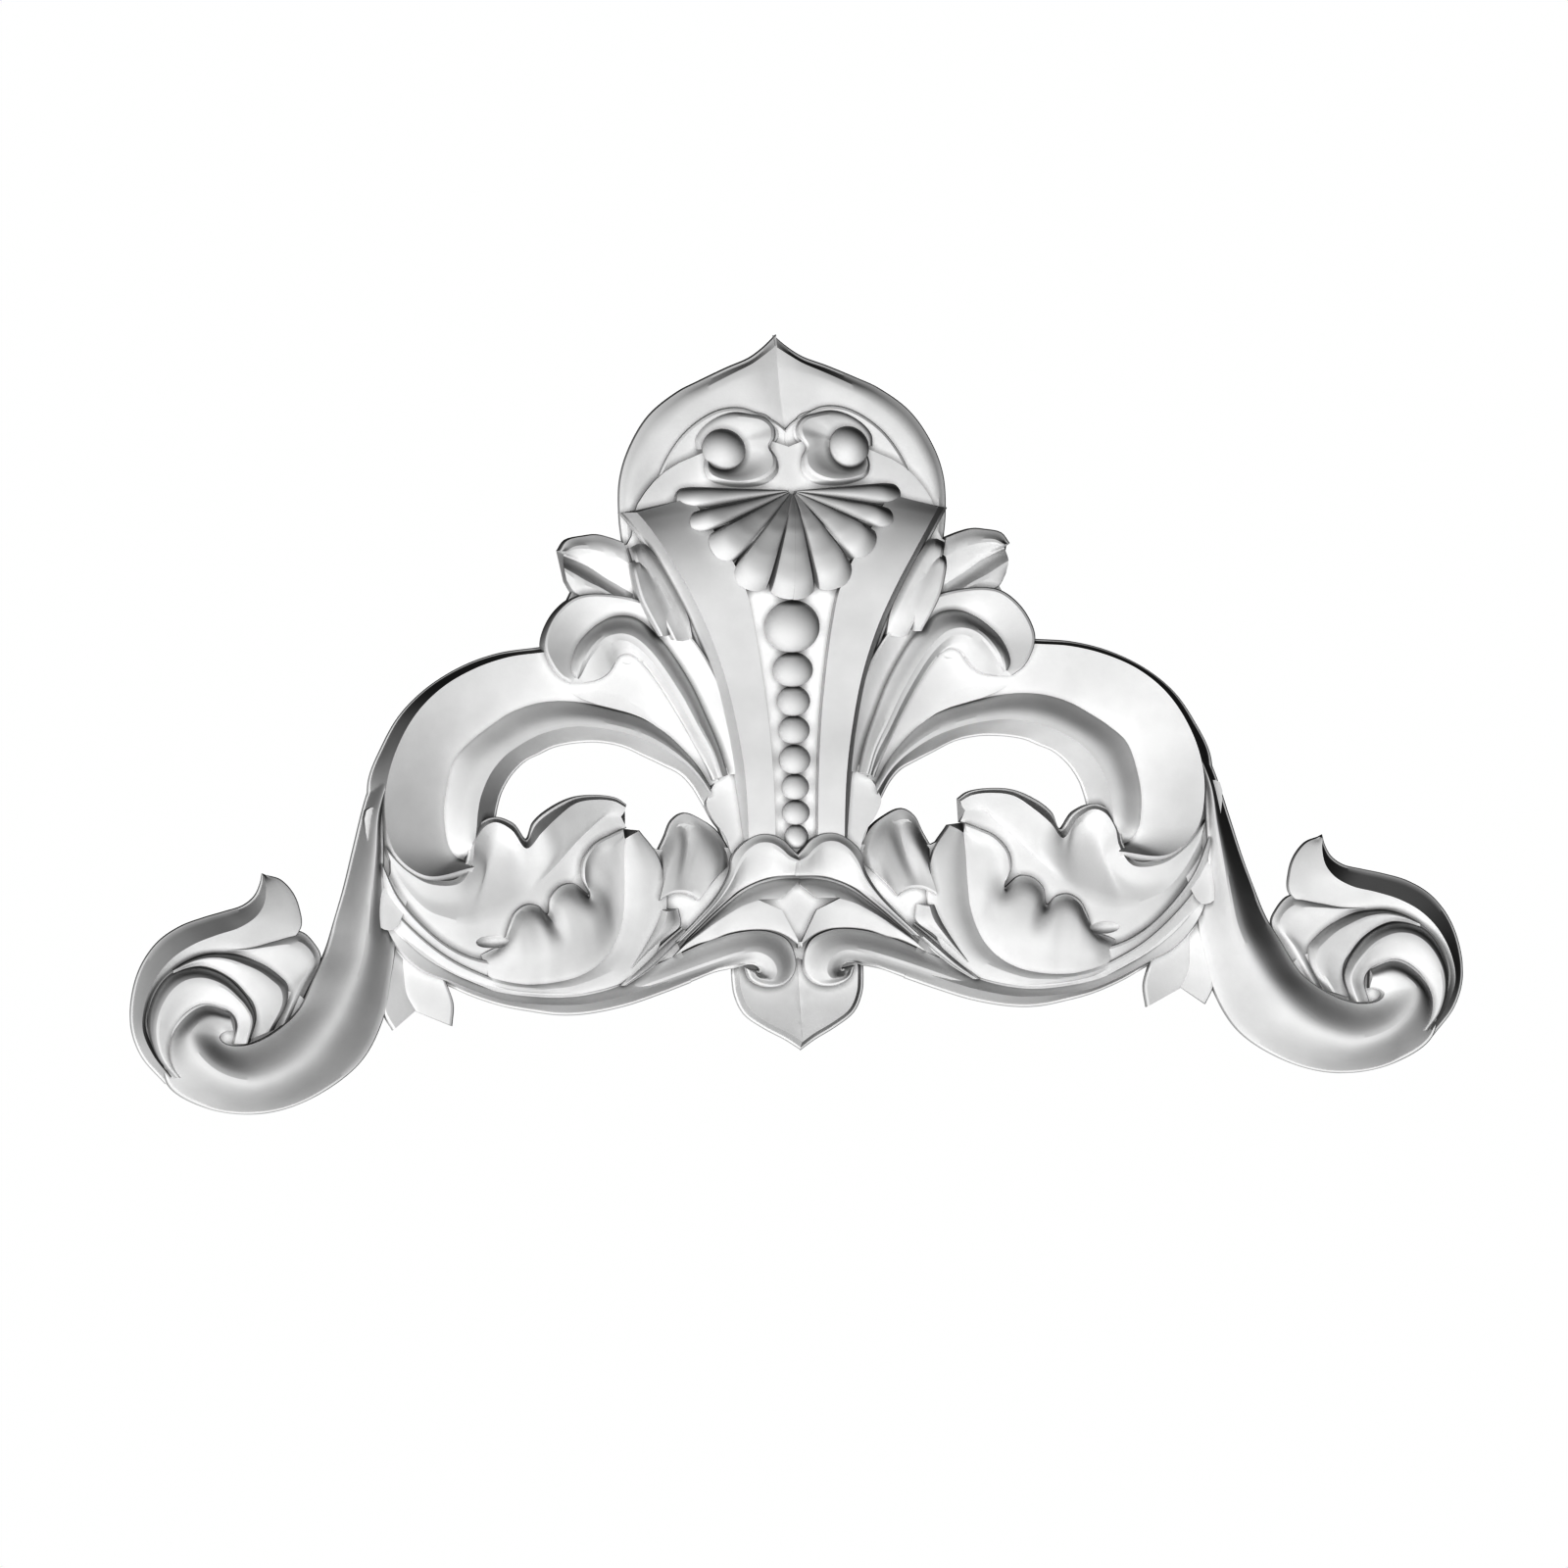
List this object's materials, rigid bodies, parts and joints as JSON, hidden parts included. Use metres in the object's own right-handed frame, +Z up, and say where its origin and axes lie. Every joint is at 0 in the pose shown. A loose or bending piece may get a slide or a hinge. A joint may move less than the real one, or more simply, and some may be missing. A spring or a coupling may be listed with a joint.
{
  "type": "carved wall applique",
  "caption": "Pierced relief ornament with a flat back: scrolls, leaves, a shell and an arch around a beaded console.",
  "frame": {"origin": "on the flat back, on the centre line, at the middle of the outline's height", "axes": "+X to the viewer's right along the width, +Z up, +Y out of the flat back towards the wall, so the carved face looks along -Y"},
  "size_m": [0.6004, 0.0458, 0.3401],
  "materials": {
    "cast_resin": "matt white, like plaster"
  },
  "bodies": {
    "root": {"carved_applique": "cast_resin"}
  },
  "joints": []
}
